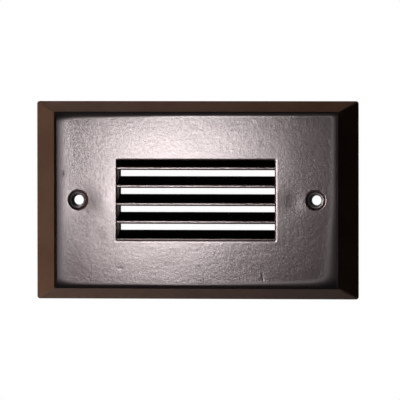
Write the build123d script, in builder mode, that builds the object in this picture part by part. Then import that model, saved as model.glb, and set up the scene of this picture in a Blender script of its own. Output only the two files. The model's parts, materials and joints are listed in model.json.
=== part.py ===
from build123d import *
from math import pi, sqrt
import os

os.makedirs("parts", exist_ok=True)

# Louvred step light for a single-gang wall box, with its lens, hinged lamp tray and wedge-base lamp.
# Frame: +X right, +Y into the wall, +Z up, in millimetres. The origin lies midway between the two
# plate screws, on the faceplate's back face.

# Faceplate: border and field
screw_pitch = 83.34  # device-screw spacing of a single-gang box
plate_width = 112.6
plate_height = 68.8
plate_lip = 1.2  # straight edge between the wall side and the bevel
plate_corner = 0.9
bevel_rise = 3.6
side_bevel = 6.5  # width of the left and right bevels, seen from the front
end_bevel = 3.7  # width of the top and bottom bevels
crest_land = 0.15
crest_round = 0.25
field_drop = 0.9  # from the crest down to the field
field_slope = 0.9  # width of the sloping wall round the field
field_corner = 0.5  # of the field and of the crest round it
web = 2.4  # wall thickness behind the field
pocket_side_margin = 0.9  # from a boss to the pocket's end
pocket_half_height = 23.6
pocket_corner = 3.0
screw_hole_radius = 1.9
countersink_radius = 3.35
countersink_angle = 82

# Faceplate: louvres and hood
grille_width = 55.6
grille_height = 28.0
grille_shift = 0.4  # the cast opening sits this far left of centre
grille_lift = 0.2  # and this far above it
blade_count = 5
blade_edge = 1.0  # height of a blade's front edge
blade_rise = 2.8  # how much higher a blade's back edge is than its front edge
first_blade_drop = 2.7  # from the opening's top to the first front edge
last_blade_gap = 0.34  # from the last front edge's top to the opening's bottom
blade_bite = 0.6  # how far blade ends run into the hood's side walls
hood_wall = 2.0
hood_depth = 11.0  # from the field to the hood's back rim
hood_corner = 1.5

# Bosses behind the field
boss_radius = 2.5
boss_gap = 0.3  # between a boss and the lens seal
boss_thread_depth = 9.0

# Gasket between plate and wall
gasket_thickness = 1.6
gasket_inset = 1.0
gasket_gap = 0.3  # gap between the gasket and the plate's pocket
gasket_hole_radius = 2.3

# Lens and its seal
lens_overlap = 2.5  # how far the lens reaches past the louvred opening
lens_thickness = 3.0
lens_chamfer = 0.3
seal_wall = 1.1
seal_lip = 1.7  # how far the seal reaches over the lens
seal_corner = 1.5
window_corner = 1.0

# Chassis
chassis_thickness = 1.5
chassis_end_margin = 0.1  # past the bosses
chassis_margin = 0.6  # past the seal, above and below
chassis_corner = 2.0
cheek_thickness = 1.2
cheek_gap = 0.5  # between a cheek and the tray
cheek_depth = 8.4
cheek_foot = 1.0  # cheeks stop this far above the chassis's lower edge
cheek_top = 9.0  # height of the cheeks' upper end
cheek_step = 3.0  # the cheeks' cut-off upper corner
cheek_round = 1.5
detent_height = 0.35
detent_radius = 1.4
detent_depth = 5.0  # detent's place behind the chassis
detent_level = 5.0
detent_flank = 45  # slope of the bump's side, in degrees

# Screws on the chassis
screw_radius = 1.5
screw_length = 10.0
screw_head_radius = 2.5
screw_head_height = 2.0
screw_head_round = 0.7
screw_clearance = 0.15
screw_head_gap = 0.5  # between a screw head and a cheek
drive_width = 0.7
drive_depth = 1.0
drive_margin = 0.9  # from the recess's ends to the head's rim
washer_radius = 2.4
washer_thickness = 0.7
washer_split = 0.5
ground_level = 11.0
ground_length = 5.0
ground_head_flats = 4.0
ground_head_height = 2.4
cup_gap = 0.1
cup_height = 1.0
cup_wall = 0.4

# Lamp tray
tray_gap = 0.3  # between the chassis and the tray's front edge
tray_margin = 0.7  # between the window's edge and the tray's inner face
tray_wall = 1.0
tray_round = 3.8  # the tray's lower front corners are rounded about the pivot
tray_fold = 1.2
pull_tab_width = 14.0
pull_tab_height = 5.0
pull_tab_corner = 2.0
vent_count = 4
vent_pitch = 12.0
vent_length = 9.0
vent_width = 2.0
vent_setback = 5.0  # from the tray's back to the vents' centre line
detent_hole_radius = 1.6

# Pivot rivets
rivet_radius = 1.4
rivet_running_gap = 0.05
rivet_head_radius = 2.4
rivet_head_height = 0.9
rivet_tail_height = 0.8
rivet_tail_gap = 0.3
rivet_tail_side = 0.6  # between a rivet's tail and the tray's floor
rivet_round = 0.4

# Lamp: T5 envelope on a wedge base
lamp_radius = 7.95
lamp_length = 37.8
lamp_wall = 0.7
lamp_front_gap = 3.95  # from the tray's front edge to the envelope
lamp_back_gap = 2.65  # from the envelope to the tray's back wall
wedge_length = 8.6
wedge_width = 9.5
wedge_thickness = 2.2
neck_radius = 4.9
neck_wall = 0.9
neck_rise = 4.0
contact_wire = 0.3  # thickness of the folded contact wires
contact_wire_width = 0.8
contact_wire_run = 5.5
support_radius = 0.25
light_centre = 12.0  # filament's distance above the envelope's floor
filament_radius = 0.5
filament_wire = 0.12
filament_pitch = 0.5

# Lampholder
socket_end_wall = 5.2
socket_depth = 14.6
socket_corner = 1.5
socket_foot_height = 3.4
socket_foot_gap = 1.0  # between a foot and the bushing
slot_clearance = 0.25
slot_end_gap = 0.2  # behind the lamp's contact wires
lamp_seat_gap = 0.3  # between the lamp's neck and the holder's mouth
contact_thickness = 0.4
contact_width = 2.4
contact_edge = 0.55  # from a contact's edge to the wedge's edge
contact_gap = 0.05  # sliding gap between a spring contact and the lamp's wire
contact_margin = 0.8  # contacts end this far inside the holder's mouth
contact_slack = 0.1
tail_reach = 0.6  # contact tails stand out of the holder's back
socket_rivet_radius = 1.1
socket_rivet_length = 6.0
socket_rivet_head_radius = 2.1
socket_rivet_head_height = 0.8

# Bushing for the leads
lead_gap = 0.3  # between a lead and the bushing's bore
grommet_wall = 0.5
grommet_lip = 0.6
grommet_flange_height = 0.9

# Terminal block
block_length = 18.0
block_height = 10.5
block_side = 1.3  # wall outside a brass insert
block_corner = 0.8
block_pole_offset = 5.0
block_centre_height = 5.6  # wire channels above the block's foot
block_skin = 1.0
insert_width = 4.4
insert_height = 5.0
insert_bore = 1.2
entry_radius = 1.5
clamp_screw_radius = 1.3
clamp_screw_setback = 4.0  # from the block's end
clamp_screw_height = 3.4
clamp_well_gap = 0.5
block_screw_radius = 1.25
block_screw_head_radius = 2.2
block_screw_head_height = 1.6
block_screw_well = 3.0
nut_flats = 5.0
nut_height = 1.6

# Leads
lead_radius = 0.7
lead_bend = 5.0
lead_settle = 3.0  # straight run into the block
lead_settle_bend = 9.0
bare_radius = 0.5
bare_length = 7.0

# Sizes that follow from what a piece holds or fits
grille_left = -grille_shift - grille_width / 2
grille_top = grille_lift + grille_height / 2
blade_pitch = (grille_height - first_blade_drop - last_blade_gap) / (blade_count - 1)
hood_width = grille_width + 2 * (hood_wall + grille_shift)
hood_height = grille_height + 2 * (hood_wall + grille_lift)
lens_width = grille_width + 2 * lens_overlap
lens_height = grille_height + 2 * lens_overlap
window_width = lens_width - 2 * seal_lip
window_height = lens_height - 2 * seal_lip
boss_offset = lens_width / 2 + seal_wall + boss_gap + boss_radius
pocket_half_width = boss_offset + boss_radius + pocket_side_margin
chassis_half_width = boss_offset + boss_radius + chassis_end_margin
chassis_height = lens_height + 2 * (seal_wall + chassis_margin)
cup_radius = ground_head_flats / sqrt(3) + cup_gap + cup_wall
ground_offset = chassis_half_width - cup_radius - chassis_end_margin
tray_width = 2 * (boss_offset - screw_head_radius - screw_head_gap - cheek_thickness - cheek_gap)
tray_height = window_height + 2 * (tray_margin + tray_wall)
lamp_setback = lamp_front_gap + lamp_radius
tray_depth = lamp_setback + lamp_radius + lamp_back_gap + tray_wall
rivet_tail_radius = tray_round - tray_wall - rivet_tail_side
pole_offset = wedge_width / 2 - contact_width / 2 - contact_edge
contact_reach = wedge_thickness / 2 + contact_wire + contact_gap + contact_thickness
slot_length = wedge_length - lamp_seat_gap + contact_wire + slot_end_gap
socket_length = slot_length + contact_thickness + socket_end_wall
grommet_bore = pole_offset + lead_radius + lead_gap
grommet_neck = grommet_bore + grommet_wall
grommet_flange = grommet_neck + grommet_lip
socket_height = 2 * (grommet_flange + socket_foot_gap + socket_foot_height)
block_width = 2 * (block_pole_offset + insert_width / 2 + block_side)
clamp_screw_offset = block_length / 2 - clamp_screw_setback
cavity_neck_radius = neck_radius - neck_wall
cavity_radius = lamp_radius - lamp_wall

# Places along the wall axis, from the plate to the back
crest = plate_lip + bevel_rise
field = crest - field_drop
hood_back = hood_depth - field
lens_front = hood_back + seal_wall
lens_back = lens_front + lens_thickness
seal_back = lens_back + seal_wall
chassis_back = seal_back + chassis_thickness
cheek_back = chassis_back + cheek_depth
cheek_bottom = cheek_foot - chassis_height / 2
tray_front = chassis_back + tray_gap
tray_back = tray_front + tray_depth
tray_inner_back = tray_back - tray_wall
pivot_y = tray_front + tray_round
pivot_z = tray_round - tray_height / 2
lamp_y = tray_front + lamp_setback
socket_back = lamp_y + socket_depth / 2
tail_end_y = socket_back + tail_reach
channel_y = tray_back + block_centre_height
block_back = tray_back + block_height

# Places along the long axis
tray_side = tray_width / 2
tray_inner_side = tray_side - tray_wall
cheek_inner = tray_side + cheek_gap
cheek_outer = cheek_inner + cheek_thickness
socket_end = -tray_inner_side
socket_mouth = socket_end + socket_length
slot_end = socket_mouth - slot_length
lead_x = slot_end - contact_thickness / 2
envelope_floor = socket_mouth + lamp_seat_gap
cavity_floor = envelope_floor + lamp_wall
wedge_tip = envelope_floor - wedge_length
lamp_tip = wedge_tip + lamp_length
block_end = -block_length / 2
lamp_axis = Axis((0, lamp_y, 0), (1, 0, 0))


def upright(y):
    """Plane square to the wall axis at depth y, facing the front; sketch x and y are world X and Z."""
    return Plane.XZ.offset(-y)


def across(x):
    """Plane square to the long axis at x; sketch x and y are world Y and Z."""
    return Plane.YZ.offset(x)


def save(piece, name):
    piece.part.label = name
    export_step(piece.part, f"parts/{name}.step")


def cross_recess(size, width):
    """Profile of a cross-shaped driver recess."""
    Rectangle(size, width)
    Rectangle(width, size)


# Faceplate
with BuildPart() as faceplate:
    with BuildSketch(upright(0)):
        Rectangle(plate_width, plate_height)
    extrude(amount=plate_lip)
    with BuildSketch(upright(-plate_lip)):
        Rectangle(plate_width, plate_height)
    with BuildSketch(upright(-crest)):
        Rectangle(plate_width - 2 * side_bevel, plate_height - 2 * end_bevel)
    loft()
    rim_edges = faceplate.edges().filter_by(Axis.X) + faceplate.edges().filter_by(Axis.Z)
    fillet(faceplate.edges() - rim_edges, plate_corner)
    fillet(faceplate.faces().sort_by(Axis.Y)[0].edges(), crest_round)
    # sunk field with a sloping wall
    with BuildSketch(upright(-crest)):
        RectangleRounded(
            plate_width - 2 * (side_bevel + crest_land),
            plate_height - 2 * (end_bevel + crest_land),
            field_corner,
        )
    with BuildSketch(upright(-field)):
        RectangleRounded(
            plate_width - 2 * (side_bevel + crest_land + field_slope),
            plate_height - 2 * (end_bevel + crest_land + field_slope),
            field_corner,
        )
    loft(mode=Mode.SUBTRACT)
    # pocket in the back, inside the gasket
    with BuildSketch(upright(0)):
        RectangleRounded(2 * pocket_half_width, 2 * pocket_half_height, pocket_corner)
    extrude(amount=field - web, mode=Mode.SUBTRACT)
    # hood and bosses
    with BuildSketch(upright(hood_back)):
        RectangleRounded(hood_width, hood_height, hood_corner)
    extrude(amount=hood_depth - web)
    with BuildSketch(upright(seal_back)):
        with GridLocations(2 * boss_offset, 1, 2, 1):
            Circle(boss_radius)
    extrude(amount=seal_back + field - web)
    with BuildSketch(upright(seal_back)):
        with GridLocations(2 * boss_offset, 1, 2, 1):
            Circle(screw_radius)
    extrude(amount=boss_thread_depth, mode=Mode.SUBTRACT)
    # louvred opening
    with BuildSketch(upright(hood_back)):
        with Locations((-grille_shift, grille_lift)):
            Rectangle(grille_width, grille_height)
    extrude(amount=hood_depth, mode=Mode.SUBTRACT)
    with BuildSketch(across(grille_left - blade_bite)):
        for row in range(blade_count):
            edge_top = grille_top - first_blade_drop - row * blade_pitch
            with BuildLine():
                Polyline(
                    (-field, edge_top - blade_edge),
                    (-field, edge_top),
                    (hood_back, edge_top + blade_rise),
                    (hood_back, edge_top + blade_rise - blade_edge),
                    close=True,
                )
            make_face()
    extrude(amount=grille_width + 2 * blade_bite)
    # plate-screw holes
    with Locations(upright(-field)):
        with GridLocations(screw_pitch, 1, 2, 1):
            CounterSinkHole(
                screw_hole_radius, countersink_radius, counter_sink_angle=countersink_angle
            )
save(faceplate, "faceplate")

# Foam gasket between the plate and the wall
with BuildPart() as wall_gasket:
    with BuildSketch(upright(gasket_thickness)):
        RectangleRounded(plate_width - 2 * gasket_inset, plate_height - 2 * gasket_inset, plate_corner)
        RectangleRounded(
            2 * (pocket_half_width + gasket_gap),
            2 * (pocket_half_height + gasket_gap),
            pocket_corner,
            mode=Mode.SUBTRACT,
        )
        with GridLocations(screw_pitch, 1, 2, 1):
            Circle(gasket_hole_radius, mode=Mode.SUBTRACT)
    extrude(amount=gasket_thickness)
save(wall_gasket, "wall_gasket")

# U-section seal: a frame with a groove for the lens
with BuildPart() as lens_seal:
    with BuildSketch(upright(seal_back)):
        RectangleRounded(lens_width + 2 * seal_wall, lens_height + 2 * seal_wall, seal_corner)
        RectangleRounded(window_width, window_height, window_corner, mode=Mode.SUBTRACT)
    extrude(amount=seal_back - hood_back)
    with BuildSketch(upright(lens_back)):
        Rectangle(lens_width, lens_height)
    extrude(amount=lens_thickness, mode=Mode.SUBTRACT)
save(lens_seal, "lens_seal")

# Frosted lens
with BuildPart() as lens_glass:
    with BuildSketch(upright(lens_back)):
        Rectangle(lens_width, lens_height)
    extrude(amount=lens_thickness)
    chamfer(lens_glass.edges(), lens_chamfer)
save(lens_glass, "lens_glass")

# Chassis: a frame behind the lens with a cheek on each side of the tray
with BuildPart() as chassis:
    with BuildSketch(upright(chassis_back)):
        RectangleRounded(2 * chassis_half_width, chassis_height, chassis_corner)
        RectangleRounded(window_width, window_height, window_corner, mode=Mode.SUBTRACT)
    extrude(amount=chassis_thickness)
    for side in (-1, 1):
        with BuildSketch(across(side * cheek_inner)) as cheek:
            with BuildLine():
                Polyline(
                    (seal_back, cheek_bottom),
                    (cheek_back, cheek_bottom),
                    (cheek_back, cheek_top - cheek_step),
                    (cheek_back - cheek_step, cheek_top),
                    (seal_back, cheek_top),
                    close=True,
                )
            make_face()
            fillet(cheek.vertices().filter_by(lambda corner: corner.X > seal_back), cheek_round)
        extrude(amount=side * cheek_thickness)
        # a pressed bump that snaps into the tray
        with BuildSketch(across(side * cheek_inner)):
            with Locations((chassis_back + detent_depth, detent_level)):
                Circle(detent_radius)
        extrude(amount=-side * detent_height, taper=detent_flank)
        with BuildSketch(across(side * cheek_inner)):
            with Locations((pivot_y, pivot_z)):
                Circle(rivet_radius)
        extrude(amount=side * cheek_thickness, mode=Mode.SUBTRACT)
    # holes for the clamping screws and the earth screw
    with BuildSketch(upright(chassis_back)):
        with GridLocations(2 * boss_offset, 1, 2, 1):
            Circle(screw_radius + screw_clearance)
        with Locations((-ground_offset, ground_level)):
            Circle(screw_radius)
    extrude(amount=chassis_thickness, mode=Mode.SUBTRACT)
save(chassis, "chassis")

# Split lock washers
with BuildPart() as lock_washers:
    with BuildSketch(upright(chassis_back + washer_thickness)):
        for side in (-1, 1):
            with Locations((side * boss_offset, 0)):
                Circle(washer_radius)
                Circle(screw_radius + screw_clearance, mode=Mode.SUBTRACT)
            with Locations((side * boss_offset, washer_radius)):
                Rectangle(washer_split, 2 * washer_radius, mode=Mode.SUBTRACT)
    extrude(amount=washer_thickness)
save(lock_washers, "lock_washers")

# Pan-head screws that clamp the chassis
screw_seat = chassis_back + washer_thickness
with BuildPart() as chassis_screws:
    with BuildSketch(upright(screw_seat + screw_head_height)):
        with GridLocations(2 * boss_offset, 1, 2, 1):
            Circle(screw_head_radius)
    extrude(amount=screw_head_height)
    fillet(chassis_screws.edges().group_by(Axis.Y)[-1], screw_head_round)
    with BuildSketch(upright(screw_seat)):
        with GridLocations(2 * boss_offset, 1, 2, 1):
            Circle(screw_radius)
    extrude(amount=screw_length)
    with BuildSketch(upright(screw_seat + screw_head_height)):
        with GridLocations(2 * boss_offset, 1, 2, 1):
            cross_recess(2 * (screw_head_radius - drive_margin), drive_width)
    extrude(amount=drive_depth, mode=Mode.SUBTRACT)
save(chassis_screws, "chassis_screws")

# Cup washer and earth screw
with BuildPart() as ground_washer:
    with BuildSketch(upright(chassis_back + cup_height)):
        with Locations((-ground_offset, ground_level)):
            Circle(cup_radius)
            Circle(screw_radius + screw_clearance, mode=Mode.SUBTRACT)
    extrude(amount=cup_height)
    with BuildSketch(upright(chassis_back + cup_height)):
        with Locations((-ground_offset, ground_level)):
            Circle(cup_radius - cup_wall)
    extrude(amount=cup_height - cup_wall, mode=Mode.SUBTRACT)
save(ground_washer, "ground_washer")

ground_seat = chassis_back + cup_wall
with BuildPart() as ground_screw:
    with BuildSketch(upright(ground_seat + ground_head_height)):
        with Locations((-ground_offset, ground_level)):
            RegularPolygon(ground_head_flats / 2, 6, major_radius=False)
    extrude(amount=ground_head_height)
    with BuildSketch(upright(ground_seat)):
        with Locations((-ground_offset, ground_level)):
            Circle(screw_radius)
    extrude(amount=ground_length)
    with BuildSketch(upright(ground_seat + ground_head_height)):
        with Locations((-ground_offset, ground_level)):
            Rectangle(ground_head_flats, drive_width)
    extrude(amount=drive_depth, mode=Mode.SUBTRACT)
save(ground_screw, "ground_screw")

# Shoulder rivets: headed outside the cheeks, with a formed tail inside the tray
with BuildPart() as pivot_rivets:
    for side in (-1, 1):
        tail_end = tray_inner_side - rivet_tail_gap - rivet_tail_height
        with BuildSketch(across(side * cheek_outer)):
            with Locations((pivot_y, pivot_z)):
                Circle(rivet_head_radius)
        extrude(amount=side * rivet_head_height)
        with BuildSketch(across(side * cheek_outer)):
            with Locations((pivot_y, pivot_z)):
                Circle(rivet_radius)
        extrude(amount=-side * (cheek_outer - tail_end))
        with BuildSketch(across(side * tail_end)):
            with Locations((pivot_y, pivot_z)):
                Circle(rivet_tail_radius)
        extrude(amount=side * rivet_tail_height)
    ends = pivot_rivets.edges().filter_by(GeomType.CIRCLE).group_by(Axis.X)
    fillet(ends[0] + ends[-1], rivet_round)
save(pivot_rivets, "pivot_rivets")

# Lamp tray: a folded pan, open towards the lens
with BuildPart() as lamp_tray:
    with BuildSketch(upright(tray_back)):
        RectangleRounded(tray_width, tray_height, tray_fold)
    extrude(amount=tray_depth)
    fillet(lamp_tray.faces().sort_by(Axis.Y)[-1].edges(), tray_fold)
    with BuildSketch(upright(tray_inner_back)):
        Rectangle(tray_width - 2 * tray_wall, tray_height - 2 * tray_wall)
    extrude(amount=tray_depth - tray_wall, mode=Mode.SUBTRACT)
    # lower front corners rounded about the pivot, and the floor set back to it
    with BuildSketch(across(0)):
        with Locations((pivot_y, pivot_z)):
            Rectangle(tray_round, tray_round, align=(Align.MAX, Align.MAX))
            Circle(tray_round, mode=Mode.SUBTRACT)
    extrude(amount=tray_side, both=True, mode=Mode.SUBTRACT)
    with BuildSketch(upright(pivot_y)):
        with Locations((0, -tray_height / 2)):
            Rectangle(tray_width - 2 * tray_wall, 2 * tray_wall)
    extrude(amount=tray_round, mode=Mode.SUBTRACT)
    for side in (-1, 1):
        with BuildSketch(across(side * tray_inner_side)):
            with Locations((pivot_y, pivot_z)):
                Circle(rivet_radius + rivet_running_gap)
            with Locations((chassis_back + detent_depth, detent_level)):
                Circle(detent_hole_radius)
        extrude(amount=side * tray_wall, mode=Mode.SUBTRACT)
    # pull tab above the back wall
    with BuildSketch(upright(tray_back)):
        with Locations((0, tray_height / 2 + pull_tab_height / 2 - tray_fold)):
            RectangleRounded(pull_tab_width, pull_tab_height + 2 * tray_fold, pull_tab_corner)
    extrude(amount=tray_wall)
    # vents through the top
    with BuildSketch(Plane.XY.offset(tray_height / 2)):
        with Locations((0, tray_back - vent_setback)):
            with GridLocations(vent_pitch, 1, vent_count, 1):
                SlotOverall(vent_length, vent_width)
    extrude(amount=-tray_wall, mode=Mode.SUBTRACT)
    # holes in the back: bushing, lampholder rivets and block screw
    with BuildSketch(upright(tray_back)):
        with Locations((lead_x, 0)):
            Circle(grommet_neck)
        with Locations((socket_end + socket_length / 2, 0)):
            with GridLocations(1, socket_height - socket_foot_height, 1, 2):
                Circle(socket_rivet_radius)
        Circle(block_screw_radius)
    extrude(amount=tray_wall, mode=Mode.SUBTRACT)
save(lamp_tray, "lamp_tray")

# Lampholder: a moulded block on two feet, with a slot for the wedge and a channel for each contact
with BuildPart() as lamp_socket:
    foot_depth = tray_inner_back - socket_back
    with BuildSketch(across(socket_end)):
        with Locations((lamp_y, 0)):
            RectangleRounded(socket_depth, socket_height, socket_corner)
        for side in (-1, 1):
            with Locations((tray_inner_back, side * (socket_height - socket_foot_height) / 2)):
                Rectangle(foot_depth + socket_corner, socket_foot_height, align=(Align.MAX, Align.CENTER))
    extrude(amount=socket_length)
    with BuildSketch(across(socket_mouth)):
        with Locations((lamp_y, 0)):
            Rectangle(wedge_thickness + 2 * slot_clearance, wedge_width + 2 * slot_clearance)
    extrude(amount=-slot_length, mode=Mode.SUBTRACT)
    for side in (-1, 1):
        with BuildSketch(across(socket_mouth)):
            with Locations((lamp_y, side * pole_offset)):
                Rectangle(2 * (contact_reach + contact_slack), contact_width + 2 * contact_slack)
        extrude(amount=-slot_length - contact_thickness, mode=Mode.SUBTRACT)
        with BuildSketch(upright(socket_back)):
            with Locations((slot_end - contact_thickness / 2, side * pole_offset)):
                Rectangle(contact_thickness + 2 * contact_slack, contact_width + 2 * contact_slack)
        extrude(amount=socket_depth / 2, mode=Mode.SUBTRACT)
    with BuildSketch(upright(tray_inner_back)):
        with Locations((socket_end + socket_length / 2, 0)):
            with GridLocations(1, socket_height - socket_foot_height, 1, 2):
                Circle(socket_rivet_radius)
    extrude(amount=socket_rivet_length - tray_wall, mode=Mode.SUBTRACT)
save(lamp_socket, "lamp_socket")

# Spring contacts: a folded strip for each pole, with a tail out of the holder's back
with BuildPart() as socket_contacts:
    for side in (-1, 1):
        with BuildSketch(Plane.XY.offset(side * pole_offset)):
            with Locations((socket_mouth - contact_margin, lamp_y)):
                Rectangle(
                    slot_length + contact_thickness - contact_margin,
                    2 * contact_reach,
                    align=(Align.MAX, Align.CENTER),
                )
                Rectangle(
                    slot_length - contact_margin,
                    2 * (contact_reach - contact_thickness),
                    align=(Align.MAX, Align.CENTER),
                    mode=Mode.SUBTRACT,
                )
            with Locations((slot_end, lamp_y)):
                Rectangle(contact_thickness, tail_end_y - lamp_y, align=(Align.MAX, Align.MIN))
        extrude(amount=contact_width / 2, both=True)
save(socket_contacts, "socket_contacts")

with BuildPart() as socket_rivets:
    rivet_spots = (socket_end + socket_length / 2, 0)
    with BuildSketch(upright(tray_back + socket_rivet_head_height)):
        with Locations(rivet_spots):
            with GridLocations(1, socket_height - socket_foot_height, 1, 2):
                Circle(socket_rivet_head_radius)
    extrude(amount=socket_rivet_head_height)
    fillet(socket_rivets.edges().group_by(Axis.Y)[-1], rivet_round)
    with BuildSketch(upright(tray_back)):
        with Locations(rivet_spots):
            with GridLocations(1, socket_height - socket_foot_height, 1, 2):
                Circle(socket_rivet_radius)
    extrude(amount=socket_rivet_length)
save(socket_rivets, "socket_rivets")

# Rubber bushing in the tray's back
with BuildPart() as tray_grommet:
    with BuildSketch(upright(tray_back + grommet_flange_height)):
        with Locations((lead_x, 0)):
            Circle(grommet_flange)
    extrude(amount=grommet_flange_height)
    with BuildSketch(upright(tray_inner_back)):
        with Locations((lead_x, 0)):
            Circle(grommet_flange)
    extrude(amount=grommet_flange_height)
    fillet(tray_grommet.edges().group_by(Axis.Y)[-1], grommet_flange_height / 2)
    with BuildSketch(upright(tray_back)):
        with Locations((lead_x, 0)):
            Circle(grommet_neck)
    extrude(amount=tray_wall)
    with BuildSketch(upright(tray_back + grommet_flange_height)):
        with Locations((lead_x, 0)):
            Circle(grommet_bore)
    extrude(amount=tray_wall + 2 * grommet_flange_height, mode=Mode.SUBTRACT)
save(tray_grommet, "tray_grommet")

# Terminal block on the tray's back
clamp_spots = [
    (end * clamp_screw_offset, side * block_pole_offset) for end in (-1, 1) for side in (-1, 1)
]
with BuildPart() as terminal_block:
    with BuildSketch(upright(block_back)):
        RectangleRounded(block_length, block_width, block_corner)
    extrude(amount=block_height)
    fillet(terminal_block.faces().sort_by(Axis.Y)[-1].edges(), block_corner / 2)
    for side in (-1, 1):
        with BuildSketch(across(0)):
            with Locations((channel_y, side * block_pole_offset)):
                Rectangle(insert_height, insert_width)
        extrude(amount=block_length / 2 - block_skin, both=True, mode=Mode.SUBTRACT)
        with BuildSketch(across(0)):
            with Locations((channel_y, side * block_pole_offset)):
                Circle(entry_radius)
        extrude(amount=block_length / 2, both=True, mode=Mode.SUBTRACT)
    with BuildSketch(upright(block_back)):
        with Locations(clamp_spots):
            Circle(clamp_screw_radius + clamp_well_gap)
    extrude(amount=block_height - block_centre_height, mode=Mode.SUBTRACT)
    with BuildSketch(upright(block_back)):
        Circle(block_screw_head_radius + screw_clearance)
    extrude(amount=block_screw_well, mode=Mode.SUBTRACT)
    with BuildSketch(upright(block_back)):
        Circle(block_screw_radius + screw_clearance)
    extrude(amount=block_height, mode=Mode.SUBTRACT)
save(terminal_block, "terminal_block")

with BuildPart() as terminal_inserts:
    for side in (-1, 1):
        with BuildSketch(across(0)):
            with Locations((channel_y, side * block_pole_offset)):
                Rectangle(insert_height, insert_width)
                Circle(insert_bore, mode=Mode.SUBTRACT)
        extrude(amount=block_length / 2 - block_skin, both=True)
    with BuildSketch(upright(channel_y + insert_height / 2)):
        with Locations(clamp_spots):
            Circle(clamp_screw_radius)
    extrude(amount=insert_height / 2, mode=Mode.SUBTRACT)
save(terminal_inserts, "terminal_inserts")

with BuildPart() as terminal_screws:
    with BuildSketch(upright(channel_y + bare_radius + clamp_screw_height)):
        with Locations(clamp_spots):
            Circle(clamp_screw_radius)
    extrude(amount=clamp_screw_height)
    with BuildSketch(upright(channel_y + bare_radius + clamp_screw_height)):
        with Locations(clamp_spots):
            Rectangle(2 * clamp_screw_radius, drive_width)
    extrude(amount=drive_depth, mode=Mode.SUBTRACT)
save(terminal_screws, "terminal_screws")

# Screw and nut that hold the block
block_screw_seat = block_back - block_screw_well
with BuildPart() as block_screw:
    with BuildSketch(upright(block_screw_seat + block_screw_head_height)):
        Circle(block_screw_head_radius)
    extrude(amount=block_screw_head_height)
    with BuildSketch(upright(block_screw_seat)):
        Circle(block_screw_radius)
    extrude(amount=block_screw_seat - tray_inner_back + nut_height)
    with BuildSketch(upright(block_screw_seat + block_screw_head_height)):
        cross_recess(2 * (block_screw_head_radius - drive_margin), drive_width)
    extrude(amount=drive_depth, mode=Mode.SUBTRACT)
save(block_screw, "block_screw")

with BuildPart() as block_nut:
    with BuildSketch(upright(tray_inner_back)):
        RegularPolygon(nut_flats / 2, 6, major_radius=False)
        Circle(block_screw_radius, mode=Mode.SUBTRACT)
    extrude(amount=nut_height)
save(block_nut, "block_nut")

# Insulated leads from the contact tails, through the bushing, into the block
for name, side in (("socket_lead_lower", -1), ("socket_lead_upper", 1)):
    with BuildPart() as lead:
        with BuildLine() as route:
            FilletPolyline(
                (lead_x, tail_end_y, side * pole_offset),
                (lead_x, channel_y, side * pole_offset),
                (block_end - lead_settle, channel_y, side * block_pole_offset),
                (block_end, channel_y, side * block_pole_offset),
                radius=[lead_bend, lead_settle_bend],
            )
        with BuildSketch(upright(tail_end_y)):
            with Locations((lead_x, side * pole_offset)):
                Circle(lead_radius)
        sweep()
    save(lead, name)
    run = sum(edge.length for edge in route.edges())
    print(name, "bends", lead_bend, lead_settle_bend, "length", round(run, 2))
    print("volume against section times length", lead.part.volume, pi * lead_radius**2 * run)

with BuildPart() as lead_ends:
    for side in (-1, 1):
        with BuildSketch(across(block_end)):
            with Locations((channel_y, side * block_pole_offset)):
                Circle(bare_radius)
        extrude(amount=bare_length)
save(lead_ends, "lead_ends")

# Lamp: hollow envelope on a flat wedge base
with BuildPart() as lamp_glass:
    with BuildSketch(Plane.XY.offset(0)):
        with BuildLine():
            Polyline(
                (envelope_floor, lamp_y),
                (envelope_floor, lamp_y + neck_radius),
                (envelope_floor + neck_rise, lamp_y + lamp_radius),
                (lamp_tip - lamp_radius, lamp_y + lamp_radius),
            )
            RadiusArc(
                (lamp_tip - lamp_radius, lamp_y + lamp_radius), (lamp_tip, lamp_y), lamp_radius
            )
            Line((lamp_tip, lamp_y), (envelope_floor, lamp_y))
        make_face()
    revolve(axis=lamp_axis)
    with BuildSketch(Plane.XY.offset(0)):
        with BuildLine():
            Polyline(
                (cavity_floor, lamp_y),
                (cavity_floor, lamp_y + cavity_neck_radius),
                (cavity_floor + neck_rise, lamp_y + cavity_radius),
                (lamp_tip - lamp_radius, lamp_y + cavity_radius),
            )
            RadiusArc(
                (lamp_tip - lamp_radius, lamp_y + cavity_radius),
                (lamp_tip - lamp_wall, lamp_y),
                cavity_radius,
            )
            Line((lamp_tip - lamp_wall, lamp_y), (cavity_floor, lamp_y))
        make_face()
    revolve(axis=lamp_axis, mode=Mode.SUBTRACT)
    with BuildSketch(across(wedge_tip)):
        with Locations((lamp_y, 0)):
            Rectangle(wedge_thickness, wedge_width)
    extrude(amount=wedge_length)
save(lamp_glass, "lamp_glass")

# The lamp's contact wires, folded over the end of the wedge
with BuildPart() as lamp_contacts:
    for side in (-1, 1):
        with BuildSketch(Plane.XY.offset(side * pole_offset)):
            with Locations((wedge_tip + contact_wire_run, lamp_y)):
                Rectangle(
                    contact_wire_run + contact_wire,
                    wedge_thickness + 2 * contact_wire,
                    align=(Align.MAX, Align.CENTER),
                )
                Rectangle(
                    contact_wire_run, wedge_thickness, align=(Align.MAX, Align.CENTER), mode=Mode.SUBTRACT
                )
        extrude(amount=contact_wire_width / 2, both=True)
save(lamp_contacts, "lamp_contacts")

# Support wires that rise from the envelope's floor to the filament
with BuildPart() as lamp_mount:
    with BuildSketch(across(cavity_floor)):
        for side in (-1, 1):
            with Locations((lamp_y, side * (pole_offset - support_radius))):
                Circle(support_radius)
    extrude(amount=light_centre)
save(lamp_mount, "lamp_mount")

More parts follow.
